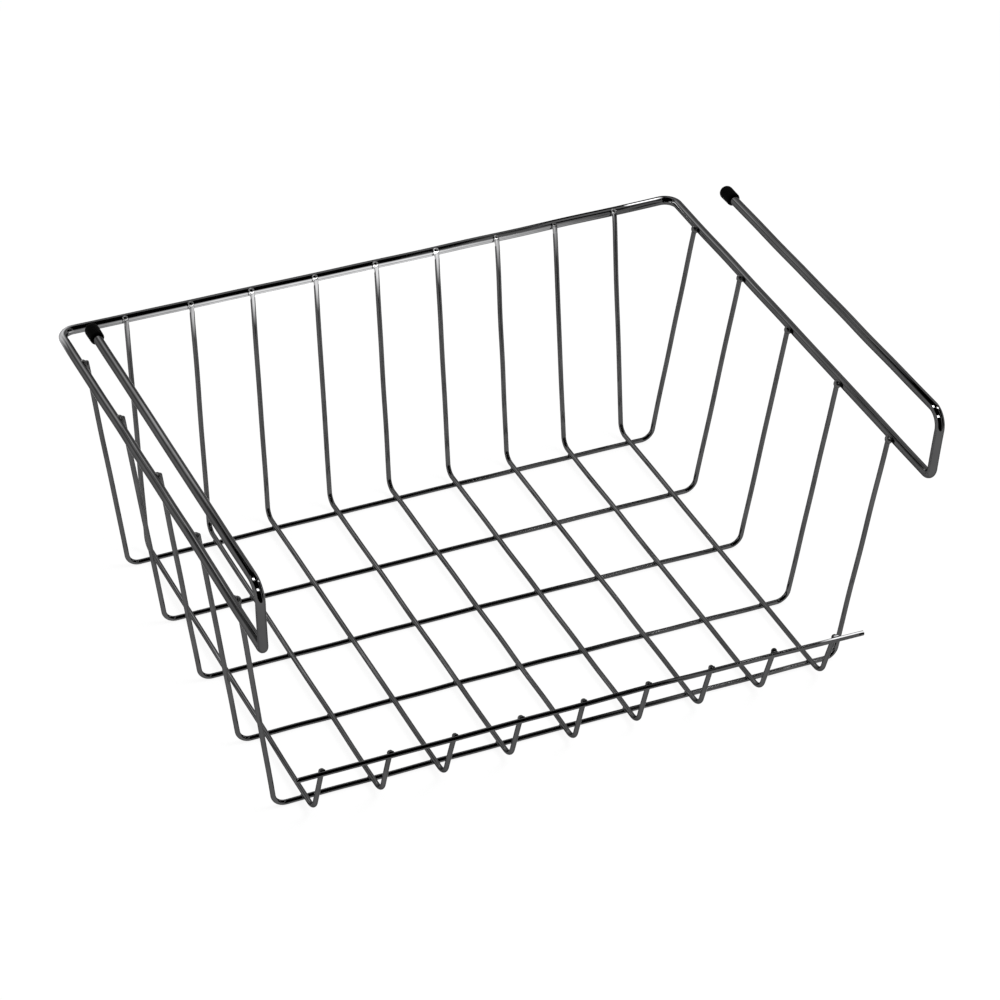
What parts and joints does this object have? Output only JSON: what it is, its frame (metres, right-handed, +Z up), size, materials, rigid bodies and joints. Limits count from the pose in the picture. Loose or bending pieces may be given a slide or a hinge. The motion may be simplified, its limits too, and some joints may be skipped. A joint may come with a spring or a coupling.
{
  "type": "under-shelf wire basket",
  "caption": "Open wire basket with a low front lip and two capped rod arms that slide over a shelf board, so that the basket hangs under it.",
  "frame": {"origin": "middle of the object's outline seen from above, at the underside of the cross wires, on the surface that the basket stands on", "axes": "+X to the right seen from the front, along the back rail; +Y from the low front lip to the back rail; +Z up, from the basket floor to the arms"},
  "size_m": [0.4108, 0.3276, 0.1966],
  "materials": {
    "dark_chrome": "smooth dark-tinted bright plating",
    "black_cap": "matte black soft plastic"
  },
  "bodies": {
    "root": {"hanger_frame": "dark_chrome", "floor_wire_1": "dark_chrome", "floor_wire_2": "dark_chrome", "floor_wire_3": "dark_chrome", "floor_wire_4": "dark_chrome", "floor_wire_5": "dark_chrome", "floor_wire_6": "dark_chrome", "floor_wire_7": "dark_chrome", "floor_wire_8": "dark_chrome", "floor_wire_9": "dark_chrome", "cross_wire_1": "dark_chrome", "cross_wire_2": "dark_chrome", "cross_wire_3": "dark_chrome", "cross_wire_4": "dark_chrome", "cross_wire_5": "dark_chrome", "lip_bar": "dark_chrome", "left_end_cap": "black_cap", "right_end_cap": "black_cap"}
  },
  "joints": []
}
